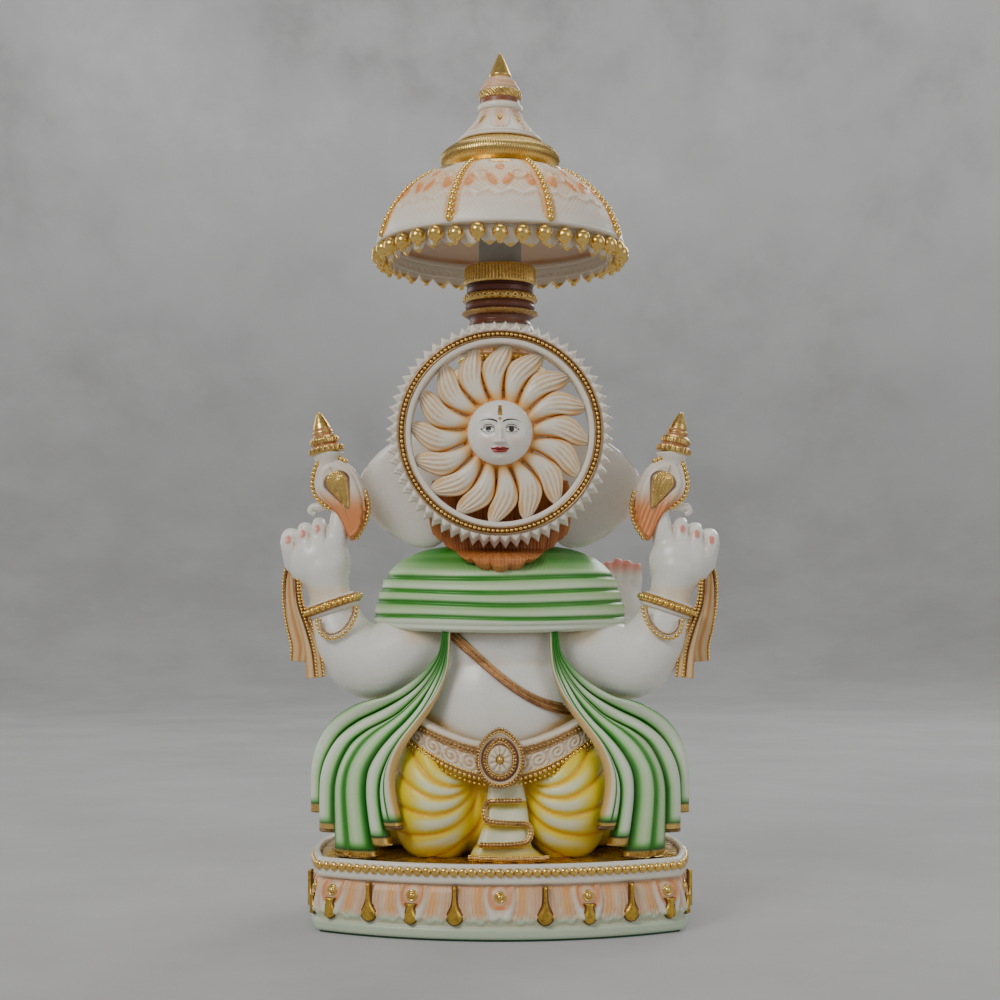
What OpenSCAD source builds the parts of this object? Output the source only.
// Seated elephant-headed devotional figure under a lift-off parasol, on a lotus plinth.
// Millimetres. +Z is up, the figure faces +Y, and its back (the carved sun disc) faces -Y.
// The origin is on the ground, under the middle of the plinth.

/* [Plinth] */
// Width of the plinth across its bowed ends
base_w = 222; // [200:1:270]
// Depth of the plinth across its bowed long faces
base_d = 168; // [150:1:205]
// Height of the plinth to its top edge, felt included
base_h = 42; // [34:1:52]
// How far each long face bows out at its middle
base_bow = 30; // [15:1:36]
// How far each end bows out at its middle
end_bow = 7; // [4:1:10]
// Wall of the hollow plinth casting
base_wall = 9; // [7:0.5:12]
// Felt sheet under the plinth
felt_t = 1.5; // [1:0.1:3]
// Closing board in the plinth's foot
board_t = 5; // [3:0.5:8]
// Depth of the gilded tray inside the rim
tray_d = 2.5; // [1.5:0.1:3]
// Width of the rim round the tray
rim_w = 8; // [6:0.5:10]

/* [Figure] */
// Half width of the hips at the seat
hip_r = 62; // [54:1:70]
// Half width of the belly
belly_r = 55; // [46:1:62]
// Half width of the chest
chest_r = 50; // [42:1:56]
// Height of the chest's middle above the tray
chest_z = 126; // [118:1:134]
// Radius of an upper arm
arm_r = 21; // [18:0.5:24]
// Radius of a rear wrist
wrist_r = 13.5; // [11:0.5:15]
// Half width of the head
head_r = 36; // [31:1:40]
// Height of the head's middle above the tray
head_z = 222; // [214:1:230]
// Radius of the trunk where it leaves the face
trunk_r = 16; // [13:0.5:18]
// Reach of an ear from the centre line
ear_reach = 86; // [76:1:94]
// Thickness of an ear
ear_t = 7; // [5:0.5:9]

/* [Sun disc] */
// Radius of the disc's gold bead ring
disc_r = 56.5; // [50:0.5:62]
// Thickness of each toothed flange
flange_t = 6; // [4:0.5:8]
// Height of the disc's middle above the tray
disc_rise = 243.5; // [236.5:0.5:250.5]
// Depth of the disc's back face behind the centre line
disc_y = 50; // [48:0.5:56]
// Teeth round each flange
teeth = 64; // [48:4:80]
// Petals of the pierced sun
petals = 16; // [12:1:20]
// Radius of the sun's domed face
sun_r = 19; // [16:0.5:22]

/* [Stem and post] */
// Radius of the plain parasol post
post_r = 12.9; // [10:0.1:14]
// Clearance round the post in its two sockets
post_gap = 0.3; // [0.2:0.05:0.6]
// How deep the post stands in the crown stem
post_seat = 30; // [24:1:34]
// Length of post that shows between stem and hub
post_show = 40; // [34:1:46]
// Largest radius of the crown stem
stem_r = 23; // [20:0.5:26]
// Height of the crown stem
stem_h = 36; // [36:1:44]

/* [Parasol] */
// Radius of the canopy at its lip
canopy_r = 75; // [65:1:88]
// Height of the canopy's dome
dome_h = 46; // [38:1:54]
// Wall of the canopy's dome
dome_wall = 4; // [3:0.5:6]
// Radius of the flat crown of the dome
dome_top_r = 35; // [30:1:38]
// Radius of a rim bead
bead_r = 4.6; // [3.5:0.1:5.2]
// Beads round the rim
rim_beads = 36; // [28:2:40]
// Bead rows that run down the dome
ribs = 8; // [6:1:10]
// Depth that the post enters the canopy's hub
hub_seat = 12; // [8:1:16]
// Height of the hatched gold collar
collar_h = 18; // [12:1:22]
// Height of the bell and rings above the collar
spire_h = 40; // [34:1:48]
// Height of the gold tip
tip_h = 16; // [12:1:22]

/* [Hidden] */

marble = [0.93, 0.92, 0.88];
gold = [0.83, 0.66, 0.25];
peach = [0.89, 0.73, 0.56];
green = [0.45, 0.72, 0.36];
yellow = [0.93, 0.77, 0.25];
copper = [0.48, 0.28, 0.16];
soft_fn = 20;            // facets round a carved form
fine_fn = 48;            // facets round an exact one

// Heights that follow from the driving sizes
hub_roof = 5;            // dome left above the post's socket
knee_x = base_w / 2 - 24;  // how far each knee spreads on the plinth
floor_z = base_h - tray_d;
chest_mid = floor_z + chest_z;
head_mid = floor_z + head_z;
disc_z = floor_z + disc_rise;
crown_z = head_mid + head_r * 0.7;
stem_z = max(crown_z + 62, disc_z + disc_r + 12.5);
stem_top = stem_z + stem_h;
post_z = stem_top - post_seat;
hub_z = stem_top + post_show;
dome_top = hub_z + hub_seat + hub_roof;
lip_z = dome_top - dome_h;
spire_z = dome_top + collar_h;

// --- shapes that repeat ---

// Radius of an arc with this chord and rise
function arc_r(chord, rise) = (chord * chord / 4 + rise * rise) / (2 * rise);

// A carved form: the whole casting as one mesh
module carved(c) {
    color(c) resize([0, 0, 0]) children();
}

module ball(p, r, fn = soft_fn) {
    translate(p) scale(is_list(r) ? r / max(r) : 1) sphere(is_list(r) ? max(r) : r, $fn = fn);
}

// A limb through points, each [x, y, z, radius]
module limb(stations, fn = 12) {
    for (i = [0 : len(stations) - 2])
        hull() {
            for (s = [stations[i], stations[i + 1]])
                translate([s[0], s[1], s[2]]) sphere(s[3], $fn = fn);
        }
}

// Copies a left-hand form (x below 0) to the side wanted: -1 is left, 1 is right
module side(s) {
    mirror([s > 0 ? 1 : 0, 0, 0]) children();
}

// The plinth's plan: four arcs, drawn in by an inset
module plan(inset) {
    corner_w = base_w - 2 * end_bow;
    corner_d = base_d - 2 * base_bow;
    long_r = arc_r(corner_w, base_bow);
    end_r = arc_r(corner_d, end_bow);
    intersection() {
        translate([0, base_d / 2 - long_r]) circle(long_r - inset, $fn = 96);
        translate([0, long_r - base_d / 2]) circle(long_r - inset, $fn = 96);
        translate([base_w / 2 - end_r, 0]) circle(end_r - inset, $fn = 96);
        translate([end_r - base_w / 2, 0]) circle(end_r - inset, $fn = 96);
    }
}

module plan_slab(z0, z1, inset) {
    translate([0, 0, z0]) linear_extrude(z1 - z0) plan(inset);
}

// Places children along the back or front bow, the first axis outwards
module along_bow(count, pitch, inset, face) {
    r = arc_r(base_w - 2 * end_bow, base_bow) - inset;
    for (i = [0 : count - 1]) {
        a = (i - (count - 1) / 2) * pitch / r * 180 / PI;
        translate([0, face * (base_d / 2 - inset - r), 0])
            rotate([0, 0, face * 90 + a]) translate([r, 0, 0]) children();
    }
}

// --- plinth ---

rim_z = base_h - 11;                 // underside of the rim moulding
foot_h = 8;                          // height of the plinth's foot
board_inset = base_wall - 3;
band_inset = 1.6;                    // petal band, behind the foot's edge
rim_inset = 1.6;
trim_sink = 0.5;                     // how far the gold trims are let in

module felt_pad() {
    color("darkgreen") plan_slab(0, felt_t, 3);
}

module base_board() {
    color("burlywood") plan_slab(felt_t, felt_t + board_t, board_inset + 0.3);
}

module plinth() {
    color(marble) difference() {
        union() {
            plan_slab(felt_t, foot_h, 0);
            plan_slab(foot_h, foot_h + 5, 3);
            plan_slab(foot_h + 5, rim_z - 5, band_inset);
            plan_slab(rim_z - 5, rim_z, 5);
            plan_slab(rim_z, base_h, rim_inset);
        }
        plan_slab(floor_z, base_h + 1, rim_w + 2);
        plan_slab(felt_t - 1, felt_t + board_t, board_inset);
        plan_slab(felt_t + board_t - 1, floor_z - base_wall, base_wall + 4);
    }
}

stud_pitch = 50;
bead_pitch = 5.2;
rim_bead_count = 2 * floor((base_w / 2 - end_bow - 6) / bead_pitch);

drop_h = rim_z - foot_h - 15;

module rim_bead_row() {
    color(gold) for (face = [-1, 1])
        along_bow(rim_bead_count, bead_pitch, rim_inset + trim_sink, face)
            translate([0, 0, rim_z + 5]) rotate([0, 90, 0]) cylinder(r = 2.3, h = 1.9, $fn = 24);
}

module petal_studs() {
    color(gold) for (face = [-1, 1])
        along_bow(5, stud_pitch, band_inset + trim_sink, face)
            translate([0, 0, rim_z - 8.2]) rotate([0, 90, 0]) cylinder(r1 = 3, r2 = 1.8, h = 2.1, $fn = 24);
}

module petal_drops() {
    color(gold) for (face = [-1, 1])
        along_bow(4, stud_pitch, band_inset + trim_sink, face)
            translate([0, 0, foot_h + 9.3]) rotate([90, 0, 90]) linear_extrude(1.9) union() {
                circle(4, $fn = 24);
                polygon([[-3.6, 1.8], [3.6, 1.8], [0.6, drop_h], [-0.6, drop_h]]);
            }
}

// --- lower body: hips, crossed legs and feet ---

module below_tray() {
    translate([-base_w, -base_w, floor_z - 100]) cube([2 * base_w, 2 * base_w, 100]);
}

module lower_body_form() {
    difference() {
        union() {
            ball([0, 0, floor_z + 33], [hip_r + 4, 48, 38]);
            for (s = [-1, 1]) {
                ball([s * hip_r * 0.5, -24, floor_z + 37], [hip_r * 0.5, 36, 43]);
                limb([[s * 36, -6, floor_z + 25, 26], [s * knee_x, 20, floor_z + 21, 21]]);
            }
            limb([[knee_x, 20, floor_z + 20, 20], [-8, 56, floor_z + 15, 14], [-34, 58, floor_z + 12, 11]]);
            limb([[-knee_x, 20, floor_z + 20, 20], [8, 48, floor_z + 13, 14], [34, 54, floor_z + 9, 10]]);
        }
        below_tray();
    }
}

module lower_body() {
    carved(yellow) difference() {
        lower_body_form();
        belt_form();
        medallion_form();
    }
}

// --- torso ---

module torso_form() {
    ball([0, 12, floor_z + 82], [belly_r, 52, 53]);
    ball([0, -8, floor_z + 84], [belly_r - 3, 42, 52]);
    ball([0, -8, chest_mid], [chest_r, 38, 42]);
    translate([0, 0, chest_mid]) cylinder(r = 20, h = head_mid - head_r - chest_mid + 8, $fn = soft_fn);
}

module torso() {
    carved(marble) difference() {
        torso_form();
        lower_body_form();
        belt_form();
        medallion_form();
        thread_form();
        necklace_form();
        dowel_holes();
    }
}

// The dhoti's belt, a chain of short lengths round the hips that dips at the back
belt_z = floor_z + 78;
belt_steps = 28;
belt_dip = 20;
function belt_at(a) = [
    (hip_r - 2) * sin(a), -50 * cos(a), belt_z - belt_dip * pow(max(0, cos(a)), 3) - 24 * max(0, -cos(a)), 5
];

module belt_form() {
    limb([for (i = [0 : belt_steps]) belt_at(i * 360 / belt_steps)], 10);
}

module waist_belt() {
    carved(gold) difference() {
        belt_form();
        medallion_form();
        rear_limbs_form();
    }
}

module medallion_form() {
    translate([0, -46, belt_z - belt_dip]) rotate([90, 0, 0]) {
        hull() {
            cylinder(r = 12, h = 13, $fn = soft_fn);
            for (y = [-1, 1])
                translate([0, y * 15, 0]) cylinder(r = 1.6, h = 11, $fn = 16);
        }
        translate([0, 0, 12]) cylinder(r1 = 5, r2 = 3, h = 4, $fn = soft_fn);
    }
}

module belt_medallion() {
    carved(gold) medallion_form();
}

// The cord over one shoulder: strands from the left shoulder down to the right hip
function thread_at(t) = [-28 + 66 * t, -46 - 5 * sin(180 * t), chest_mid + 4 - 48 * sin(80 * t), 2];

module thread_form() {
    limb([for (i = [0 : 12]) thread_at(i / 12)], 8);
}

module sacred_thread() {
    carved(copper) difference() {
        thread_form();
        shawl_form();
        sash_form(-1);
        sash_form(1);
    }
}

function necklace_at(a) = [30 * sin(a), 27 + 6 * cos(a), chest_mid + 14 - 20 * cos(a), 3];

module necklace_form() {
    limb([for (i = [0 : 14]) necklace_at(-105 + 15 * i)], 8);
}

module necklace() {
    carved(gold) difference() {
        necklace_form();
        front_limbs_form();
        shawl_form();
        head_form();
        trunk_form();
    }
}

// --- shawl over the shoulders, and its two falls ---

shawl_w = chest_r + 23;

module shawl_form() {
    intersection() {
        hull() {
            translate([0, -6, chest_mid + 3]) scale([1, 0.66, 1])
                cylinder(r = shawl_w, h = 8, $fn = 32);
            translate([0, -9, chest_mid + 24]) scale([1, 0.66, 1])
                cylinder(r = shawl_w - 11, h = 4, $fn = 32);
            translate([0, -7, chest_mid + 40]) scale([1, 0.72, 1])
                cylinder(r = shawl_w - 30, h = 8, $fn = 32);
        }
        translate([-200, -200, 0]) cube([400, 208, 400]);
    }
}

module shawl() {
    carved(green) difference() {
        shawl_form();
        torso_form();
        hair_form();
        head_form();
        front_limbs_form();
        dowel_holes();
    }
}

// Each fold of a fall: its hem as [outwards of the knee, y, height above the tray], its top
// the same way, and the half width of the hem
sash_folds = [
    [[17, -8, 22], [10, -12, 62], 5],
    [[11, -26, 13], [5, -22, 70], 6],
    [[-4, -43, 2], [-7, -33, 76], 11],
    [[-20, -51, 8], [-19, -40, 72], 6],
    [[-27, -55, 18], [-29, -44, 68], 5]
];

module sash_form(s) {
    side(s) {
        limb([[-33, -44, chest_mid + 4, 7], [-37, -47, chest_mid - 18, 8], [-48, -46, chest_mid - 38, 10],
              [-64, -40, chest_mid - 50, 13]]);
        for (fold = sash_folds)
            hull() {
                translate([-knee_x - fold[0].x, fold[0].y, floor_z + fold[0].z])
                    scale([1, 0.6, 1]) cylinder(r = fold[2], h = 4, $fn = 16);
                ball([-knee_x - fold[1].x, fold[1].y, floor_z + fold[1].z], 13, 16);
            }
    }
}

module sash(s) {
    carved(green) difference() {
        sash_form(s);
        lower_body_form();
        torso_form();
        shawl_form();
        belt_form();
        rear_limbs_form();
        below_tray();
    }
}

module sash_left() { sash(-1); }
module sash_right() { sash(1); }

// --- head, ears, trunk, tusks, hair and crown ---

module head_form() {
    ball([0, 10, head_mid], [head_r, head_r - 1, head_r + 3]);
    ball([0, 26, head_mid - 16], [head_r - 8, 24, 20]);
    translate([0, 4, head_mid - head_r - 4]) cylinder(r = 19, h = 20, $fn = soft_fn);
}

module head() {
    carved(marble) difference() {
        head_form();
        torso_form();
        disc_space();
        ear_forms();
        dowel_holes();
    }
}

module trunk_form() {
    limb([[0, 40, head_mid - 14, trunk_r], [0, 52, head_mid - 32, trunk_r - 1],
          [-1, 58, head_mid - 54, trunk_r - 2.5], [-4, 62, head_mid - 78, trunk_r - 4],
          [-10, 66, head_mid - 100, trunk_r - 5.5], [-20, 69, head_mid - 112, trunk_r - 6.5],
          [-32, 69, head_mid - 108, trunk_r - 7.5],
          [-39, 68, head_mid - 97, trunk_r - 8.5]]);
}

module trunk() {
    carved(marble) difference() {
        trunk_form();
        head_form();
        torso_form();
        lower_body_form();
    }
}

module tusk_form(s, length) {
    hull() {
        ball([s * 17, 38, head_mid - 22], 5, 14);
        ball([s * 24, 44 + length, head_mid - 27], 2.4, 14);
    }
}

module tusk(s, length) {
    carved("ivory") difference() {
        tusk_form(s, length);
        head_form();
        trunk_form();
    }
}

module tusk_left() { tusk(-1, 6); }
module tusk_right() { tusk(1, 18); }

// Ear outline as [reach share, height above the head's middle]
ear_outline = [[0.30, 24], [0.48, 26], [0.72, 18], [0.93, 5], [1.00, -5], [0.94, -20], [0.76, -32],
               [0.60, -42], [0.46, -44], [0.32, -30]];

module ear_form(s) {
    side(s) translate([0, 8, head_mid]) rotate([90, 0, 0]) linear_extrude(ear_t)
        polygon([for (p = ear_outline) [-p[0] * ear_reach, p[1]]]);
}

module ear_forms() {
    ear_form(-1);
    ear_form(1);
}

module ear(s) {
    color(marble) ear_form(s);
}

module ear_left() { ear(-1); }
module ear_right() { ear(1); }

// Scalloped hair that hangs at the nape
module hair_form() {
    intersection() {
        ball([0, -18, head_mid - 26], [head_r + 5, 27, head_r]);
        translate([-200, -200, 0]) cube([400, 192, head_mid - 4]);
    }
}

module hair_bun() {
    carved([0.78, 0.45, 0.22]) difference() {
        hair_form();
        head_form();
        torso_form();
        ear_forms();
        disc_space();
        dowel_holes();
    }
}

// Crown tiers as [radius, height above the crown's foot]
module crown_form() {
    h = stem_z - crown_z;
    translate([0, 3, crown_z]) rotate_extrude($fn = 32)
        polygon([[0, 0], [head_r - 2, 0], [head_r - 1, 6], [head_r - 7, 9], [head_r - 5, 0.32 * h],
                 [head_r - 11, 0.38 * h], [head_r - 9, 0.6 * h], [head_r - 15, 0.66 * h],
                 [head_r - 14, h], [0, h]]);
}

module crown() {
    carved(gold) difference() {
        crown_form();
        head_form();
        ear_forms();
        disc_space();
    }
}

// --- rear arms: fists, bangles, ribbons and emblems ---

wrist = [-99, -20, floor_z + 146];
fist_mid = wrist + [-6, 0, 27];

module rear_arm_form(s) {
    side(s) {
        limb([[-38, -16, floor_z + 128, arm_r], [-58, -20, floor_z + 116, arm_r + 1.5],
              [-80, -22, floor_z + 111, arm_r + 1], [-90, -21, floor_z + 126, arm_r - 3],
              [wrist[0], wrist[1], wrist[2], wrist_r]]);
        limb([[wrist[0], wrist[1], wrist[2], wrist_r],
              [fist_mid[0] + 2, wrist[1], fist_mid[2] - 4, wrist_r + 3]]);
        ball(fist_mid, [19, 15, 19]);
        for (i = [0 : 3])
            hull() {
                ball(fist_mid + [-14 + 9 * i, -8, 12 + 2 * i], 5, 12);
                ball(fist_mid + [-14 + 9 * i, 8, 10 + 2 * i], 5, 12);
            }
    }
}

module rear_limbs_form() {
    rear_arm_form(-1);
    rear_arm_form(1);
}

module rear_arm(s) {
    carved(marble) difference() {
        rear_arm_form(s);
        torso_form();
        shawl_form();
        dowel_holes();
        bangle_space(s);
        bangle_loop_form(s);
        emblem_form(s);
    }
}

module rear_arm_left() { rear_arm(-1); }
module rear_arm_right() { rear_arm(1); }

bangle_tilt = 20;

module at_wrist(s) {
    side(s) translate(wrist + [1, 0, -2]) rotate([0, -bangle_tilt, 0]) children();
}

module bangle_space(s) {
    at_wrist(s) translate([0, 0, -3.5]) difference() {
        cylinder(r = wrist_r + 10, h = 7, $fn = 32);
        translate([0, 0, -1]) cylinder(r = wrist_r - 1, h = 9, $fn = 32);
    }
}

module bangle(s) {
    color(gold) at_wrist(s) rotate_extrude($fn = fine_fn) translate([wrist_r + 0.6, 0]) {
        translate([0, -3.4]) square([2.6, 6.8]);
        translate([2.6, 0]) circle(3, $fn = 24);
    }
}

module bangle_left() { bangle(-1); }
module bangle_right() { bangle(1); }

module bangle_loop_form(s) {
    side(s) translate([wrist[0] + 6, wrist[1], wrist[2] - 6])
        limb([for (i = [0 : 9]) let (a = 180 + 20 * i)
              [11 * cos(a), -arm_r + 5 - 2 * abs(sin(a)), 16 * sin(a) * 0.9 + 1, 1.7]], 8);
}

module bangle_loop(s) {
    carved(gold) difference() {
        bangle_loop_form(s);
        bangle_space(s);
    }
}

module bangle_loop_left() { bangle_loop(-1); }
module bangle_loop_right() { bangle_loop(1); }

module ribbon(s) {
    carved(peach) difference() {
        side(s) for (tail = [0, 1])
            limb([for (t = [0 : 5]) [
                wrist[0] - 15 - 6 * sin(36 * t) + 2 * tail * t,
                wrist[1] + 2 - 4 * tail,
                wrist[2] + (tail ? 4 : 22) - (tail ? 12 : 15) * t,
                3.4 + 0.5 * t]], 10);
        rear_arm_form(s);
        bangle_space(s);
    }
}

module ribbon_left() { ribbon(-1); }
module ribbon_right() { ribbon(1); }

// The carved emblem in each rear hand: a curled leaf with a small spire
emblem_mid = fist_mid + [8, 0, 44];
emblem_tilt = 12;

module emblem_form(s) {
    side(s) translate(emblem_mid) rotate([90, 0, 0]) translate([0, 0, -7]) {
        linear_extrude(14) union() {
            circle(13.5, $fn = soft_fn);
            translate([-4, 4]) circle(13, $fn = soft_fn);
            polygon([[-12, -6], [13.5, 0], [17, -16], [13, -27], [8, -34], [2, -30]]);
        }
        translate([-4, 14, 7]) rotate([-90, 0, 0]) cylinder(r = 6, h = 8, $fn = soft_fn, center = true);
    }
}

module emblem(s) {
    carved(peach) difference() {
        emblem_form(s);
        at_emblem_tip(s) translate([0, 0, -20]) cylinder(r = 8.7, h = 20.01, $fn = soft_fn);
        at_emblem_tip(s) cylinder(r = 20, h = 40, $fn = 12);
    }
    carved(peach) intersection() {
        emblem_form(s);
        at_emblem_tip(s) translate([0, 0, -20]) cylinder(r = 8.7, h = 20, $fn = soft_fn);
    }
}

module at_emblem_tip(s) {
    side(s) translate(emblem_mid + [-5, 0, 17]) rotate([0, -emblem_tilt, 0]) children();
}

module emblem_left() { emblem(-1); }
module emblem_right() { emblem(1); }

module emblem_tip(s) {
    color(gold) at_emblem_tip(s) rotate_extrude($fn = fine_fn)
        polygon([[0, 0], [9.5, 0], [10, 2.5], [7.5, 5], [8, 7.5], [5.5, 10], [6, 12], [5, 14], [0, 25]]);
}

module emblem_tip_left() { emblem_tip(-1); }
module emblem_tip_right() { emblem_tip(1); }

// --- front arms and the sweet ---

module front_arm_form(s) {
    if (s > 0) {
        limb([[42, 4, chest_mid + 12, 18], [64, 14, chest_mid - 12, 16], [73, 30, chest_mid - 28, 15],
              [75, 44, chest_mid - 12, 12], [76, 50, chest_mid + 6, 10]]);
        ball([77, 50, chest_mid + 22], [12, 8, 16], 16);
        for (i = [0 : 3])
            hull() {
                ball([69 + 5.4 * i, 50, chest_mid + 30], 3.4, 12);
                ball([67 + 6.4 * i, 48, chest_mid + 45 - 2 * abs(i - 1)], 2.8, 12);
            }
    } else {
        limb([[-42, 4, chest_mid + 12, 18], [-62, 14, chest_mid - 14, 16], [-68, 30, chest_mid - 38, 15],
              [-58, 48, chest_mid - 48, 11.5], [-50, 56, chest_mid - 50, 10]]);
        ball([-44, 62, chest_mid - 48], [15, 14, 6], 16);
    }
}

module front_limbs_form() {
    front_arm_form(-1);
    front_arm_form(1);
}

module front_arm(s) {
    carved(marble) difference() {
        front_arm_form(s);
        torso_form();
        lower_body_form();
        rear_arm_form(s);
        trunk_form();
        dowel_holes();
        if (s < 0)
            modak_form();
    }
}

module front_arm_left() { front_arm(-1); }
module front_arm_right() { front_arm(1); }

module modak_form() {
    translate([-42, 64, chest_mid - 46]) rotate_extrude($fn = soft_fn)
        polygon([[0, 0], [7, 0], [9, 4], [8, 8], [4, 12], [0, 16]]);
}

module modak() {
    carved([0.93, 0.8, 0.5]) difference() {
        modak_form();
        trunk_form();
    }
}

// --- steel dowels that join the castings ---

dowel_r = 3;
dowel_gap = 0.4;
neck_dowel_z = head_mid - head_r - 22;

module dowels(extra) {
    for (s = [-1, 1]) {
        translate([s * 24, -14, floor_z + 124]) rotate([0, s * 90, 0])
            cylinder(r = dowel_r + extra, h = 34 + extra, $fn = soft_fn);
        translate([s * 22, 2, chest_mid + 8]) rotate([0, s * 90, 0])
            cylinder(r = dowel_r + extra, h = 30 + extra, $fn = soft_fn);
    }
}

module neck_dowels(extra) {
    translate([0, 4, neck_dowel_z]) cylinder(r = dowel_r + 1 + extra, h = 40 + extra, $fn = soft_fn);
}

module dowel_holes() {
    dowels(dowel_gap);
    neck_dowels(dowel_gap);
}

module arm_dowels() {
    color("silver") dowels(0);
}

module neck_dowel() {
    color("silver") neck_dowels(0);
}

// --- the sun disc behind the crown ---

flange_r = disc_r + 5;
tooth_h = 4;
ring_in = disc_r - 6.5;
drum_t = 6;
plate_y = -disc_y + flange_t + drum_t;
disc_front = plate_y + 5;

module at_disc(y) {
    translate([0, y, disc_z]) rotate([-90, 0, 0]) children();
}

// Free space that the disc needs, so that nothing behind it meets it
module disc_space() {
    at_disc(-disc_y - 20) cylinder(r = flange_r + tooth_h + 6, h = disc_front + disc_y + 20, $fn = 48);
}

module toothed_plate(r, tip, t) {
    pitch = 360 / teeth;
    linear_extrude(t) difference() {
        polygon([for (i = [0 : 2 * teeth - 1])
            (i % 2 ? r : r + tip) * [cos(i * pitch / 2), sin(i * pitch / 2)]]);
        circle(ring_in, $fn = 96);
    }
}

module disc_ring() {
    color(marble) union() {
        at_disc(-disc_y) toothed_plate(flange_r, tooth_h, flange_t);
        at_disc(-disc_y + flange_t - 1) linear_extrude(drum_t + 1) difference() {
            circle(flange_r - 2, $fn = 64);
            circle(ring_in, $fn = 96);
        }
    }
}

module disc_front_plate() {
    color(marble) at_disc(plate_y) toothed_plate(flange_r + 3, tooth_h + 1, disc_front - plate_y);
}

module disc_bead_ring() {
    color(gold) at_disc(-disc_y) mirror([0, 0, 1]) rotate_extrude($fn = 96)
        polygon([[disc_r - 2, 0], [disc_r + 2, 0], [disc_r + 1.4, 2], [disc_r - 1.4, 2]]);
}

// A petal's plan: slim at the face, full and round at the ring
module petal_2d(w) {
    hull() {
        translate([sun_r, 0]) circle(w * 0.3, $fn = 12);
        translate([ring_in - w / 2, 0]) circle(w / 2 + 0.5, $fn = 20);
    }
}

module sun_petals() {
    w = 2 * PI * (ring_in - 7) / petals * 0.9;
    carved(marble) intersection() {
        at_disc(-disc_y + 4) linear_extrude(plate_y + disc_y - 4) union() {
            circle(sun_r + 4, $fn = 32);
            for (i = [0 : petals - 1])
                rotate(i * 360 / petals) petal_2d(w);
        }
        at_disc(-disc_y) cylinder(r = ring_in, h = 40, $fn = 96);
    }
}

module sun_face() {
    color(marble) at_disc(-disc_y + 4) mirror([0, 0, 1]) rotate_extrude($fn = fine_fn)
        polygon(concat([[0, 0]], [for (i = [0 : 8]) [sun_r * cos(i * 11.25), 11 * sin(i * 11.25)]]));
}

module disc_hub() {
    carved(marble) difference() {
        at_disc(plate_y) cylinder(r = 12, h = 30, $fn = soft_fn);
        head_form();
        crown_form();
    }
}

// --- parasol: stem, post and canopy ---

module crown_stem() {
    h = stem_h;
    color(copper) difference() {
        translate([0, 0, stem_z]) rotate_extrude($fn = fine_fn)
            polygon([[0, 0], [stem_r - 4, 0], [stem_r - 5, 5], [stem_r, 7], [stem_r - 2.5, 9.5],
                     [stem_r - 1.5, 13], [stem_r - 2.5, 15.5], [stem_r - 1, 18], [stem_r - 4, 21],
                     [stem_r - 3, 24.5], [stem_r - 2, 25],
                     [stem_r - 1.5, h - 7], [stem_r - 2, h - 1], [stem_r - 4, h], [0, h]]);
        translate([0, 0, post_z]) cylinder(r = post_r + post_gap, h = post_seat + 1, $fn = fine_fn);
    }
}

module parasol_post() {
    color("gray") translate([0, 0, post_z + post_gap])
        cylinder(r = post_r, h = post_seat + post_show + hub_seat - 2 * post_gap, $fn = fine_fn);
}

// The dome's outer face, t = 0 at its flat top and 1 at its lip
dome_steps = 8;
function dome_at(t) = [
    dome_top_r + (canopy_r - dome_top_r) * sin(90 * t) * (0.75 + 0.25 * t),
    dome_top - dome_h * (0.3 * t + 0.7 * (1 - cos(90 * t)))
];
ledge_w = 10;            // flat ledge inside the lip
ledge_t = 3;

module canopy() {
    outer = [for (i = [0 : dome_steps]) dome_at(i / dome_steps)];
    inner = [for (i = [dome_steps - 1 : -1 : 0]) dome_at(i / dome_steps) - [dome_wall, dome_wall]];
    ledge = [[canopy_r - ledge_w, lip_z], [canopy_r - ledge_w, lip_z + ledge_t],
             [canopy_r - dome_wall, lip_z + ledge_t]];
    color(marble) difference() {
        union() {
            rotate_extrude($fn = fine_fn)
                polygon(concat([[0, dome_top]], outer, ledge, inner, [[0, dome_top - dome_wall]]));
            translate([0, 0, hub_z]) cylinder(r = post_r + 5, h = hub_seat + 1, $fn = fine_fn);
        }
        translate([0, 0, hub_z - 1]) cylinder(r = post_r + post_gap, h = hub_seat + 1, $fn = fine_fn);
    }
}

valance_r = canopy_r - 6.5;
valance_t = 3;
valance_h = 11.5;
leaf_h = 6;

// The valance hangs from the ledge, with a row of pointed leaves
module canopy_valance() {
    pitch = 360 / rim_beads;
    leaf_w = 2 * PI * valance_r / rim_beads;
    color(marble) translate([0, 0, lip_z - valance_h]) difference() {
        cylinder(r = valance_r, h = valance_h, $fn = 96);
        translate([0, 0, -1]) cylinder(r = valance_r - valance_t, h = valance_h + 2, $fn = 72);
        for (i = [0 : rim_beads - 1])
            rotate((i + 0.5) * pitch) translate([valance_r + 2, 0, 0]) rotate([0, -90, 0])
                linear_extrude(2 * valance_t + 2)
                    polygon([[-1, -leaf_w / 2], [leaf_h, 0], [-1, leaf_w / 2]]);
    }
}

// Beads under the lip, flattened where they meet it
module rim_beads() {
    color(gold) difference() {
        for (i = [0 : rim_beads - 1])
            rotate(i * 360 / rim_beads) translate([canopy_r - bead_r + 2.8, 0, lip_z - bead_r + 0.5])
                sphere(bead_r, $fn = 24);
        translate([0, 0, lip_z]) cylinder(r = canopy_r + 20, h = 20, $fn = fine_fn);
    }
}

rib_count = 9;           // beads in a row
rib_bead_r = 2.1;

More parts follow.
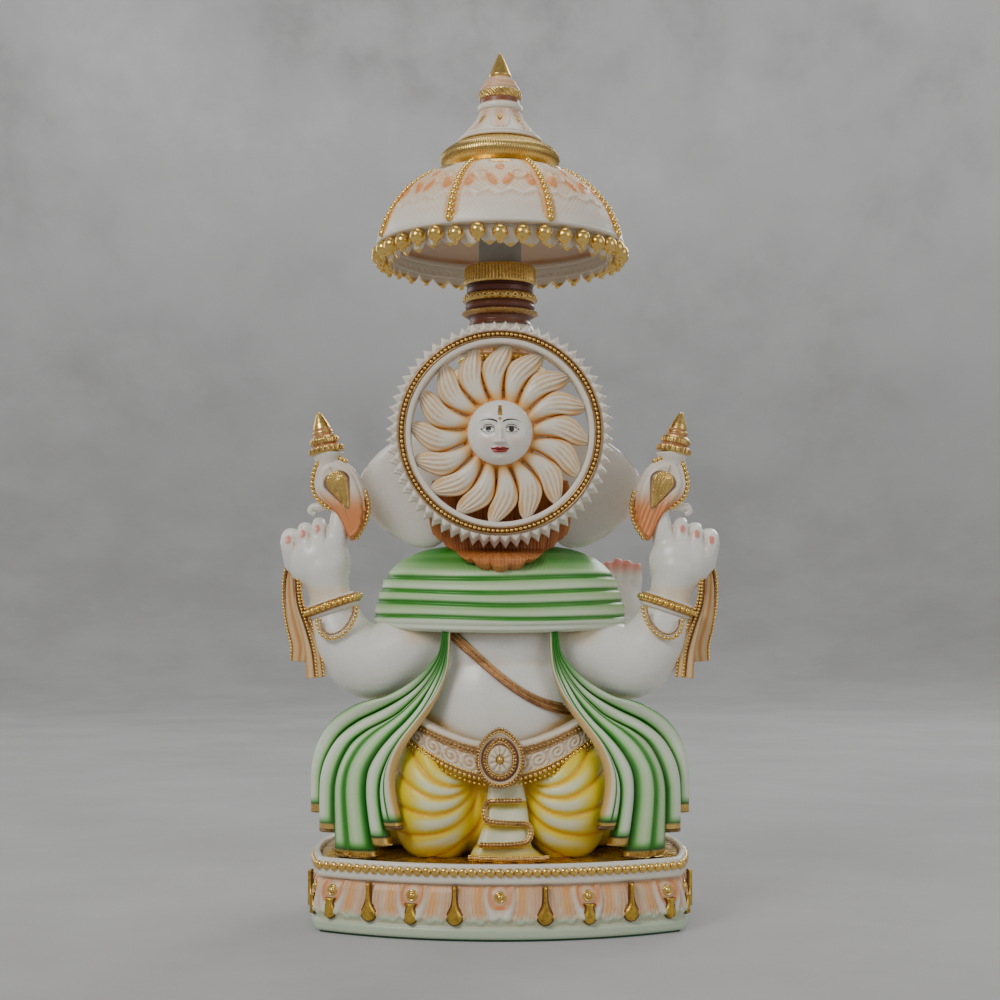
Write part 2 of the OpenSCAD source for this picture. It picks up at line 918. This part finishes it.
module rib_beads() {
    color(gold) for (rib = [0 : ribs - 1], i = [1 : rib_count])
        rotate((rib + 0.5) * 360 / ribs)
            translate([dome_at(i / (rib_count + 0.5)).x, 0, dome_at(i / (rib_count + 0.5)).y])
                sphere(rib_bead_r, $fn = 24);
}

module canopy_collar() {
    color(gold) translate([0, 0, dome_top]) rotate_extrude($fn = fine_fn)
        polygon([[0, 0], [dome_top_r - 2, 0], [dome_top_r + 1, 3], [dome_top_r + 2, 0.4 * collar_h],
                 [dome_top_r - 2, 0.7 * collar_h], [dome_top_r - 10, collar_h], [0, collar_h]]);
}

module canopy_spire() {
    h = spire_h;
    color(peach) translate([0, 0, spire_z]) rotate_extrude($fn = fine_fn)
        polygon([[0, 0], [dome_top_r - 9, 0], [dome_top_r - 10, 3], [17, 0.25 * h], [12.5, 0.43 * h],
                 [12.8, 0.52 * h], [11.6, 0.55 * h], [11.8, 0.68 * h],
                 [12.4, 0.7 * h], [12.4, 0.83 * h], [11, 0.86 * h], [7.5, h], [0, h]]);
}

module canopy_tip() {
    color(gold) translate([0, 0, spire_z + spire_h]) rotate_extrude($fn = fine_fn)
        polygon([[0, 0], [6.8, 0], [5.4, 0.3 * tip_h], [3.2, 0.65 * tip_h], [0.8, 0.97 * tip_h],
                 [0, tip_h]]);
}

felt_pad();
base_board();
plinth();
rim_bead_row();
petal_studs();
petal_drops();
lower_body();
torso();
shawl();
sash_left();
sash_right();
sacred_thread();
waist_belt();
belt_medallion();
necklace();
head();
trunk();
tusk_left();
tusk_right();
ear_left();
ear_right();
hair_bun();
crown();
crown_stem();
rear_arm_left();
rear_arm_right();
front_arm_left();
front_arm_right();
modak();
bangle_left();
bangle_right();
bangle_loop_left();
bangle_loop_right();
ribbon_left();
ribbon_right();
emblem_left();
emblem_right();
emblem_tip_left();
emblem_tip_right();
neck_dowel();
arm_dowels();
disc_hub();
disc_ring();
disc_front_plate();
disc_bead_ring();
sun_petals();
sun_face();
parasol_post();
canopy();
canopy_valance();
rim_beads();
rib_beads();
canopy_collar();
canopy_spire();
canopy_tip();
